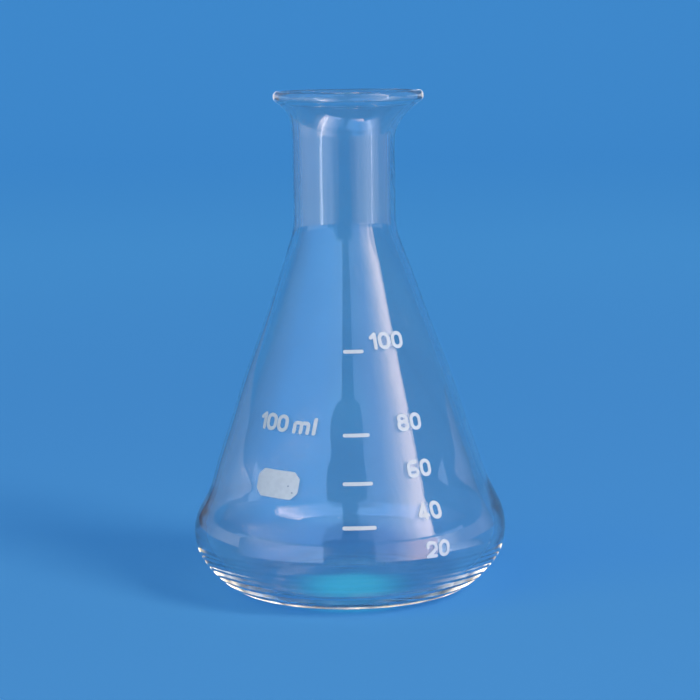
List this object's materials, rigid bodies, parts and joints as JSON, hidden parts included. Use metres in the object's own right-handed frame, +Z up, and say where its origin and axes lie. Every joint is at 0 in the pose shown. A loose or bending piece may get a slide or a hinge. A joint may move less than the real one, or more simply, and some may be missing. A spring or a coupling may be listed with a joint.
{
  "type": "erlenmeyer flask",
  "caption": "Narrow-neck conical laboratory flask of clear glass with a flared beaded lip, white enamel graduation, capacity label and writing patch.",
  "frame": {"origin": "centre of the circle the flask stands on, in the plane of its foot ring", "axes": "+Z up along the flask's axis, out of the mouth; the graduation faces -Y, and the writing patch is towards -X of it"},
  "size_m": [0.065, 0.065, 0.104],
  "materials": {
    "glass": "clear, fire-polished borosilicate glass",
    "enamel": "matt white fired ceramic enamel"
  },
  "bodies": {
    "root": {"glass_body": "glass", "graduation_line_40": "enamel", "graduation_line_60": "enamel", "graduation_line_80": "enamel", "graduation_line_100": "enamel", "graduation_number_20": "enamel", "graduation_number_40": "enamel", "graduation_number_60": "enamel", "graduation_number_80": "enamel", "graduation_number_100": "enamel", "capacity_label": "enamel", "writing_patch": "enamel"}
  },
  "joints": []
}
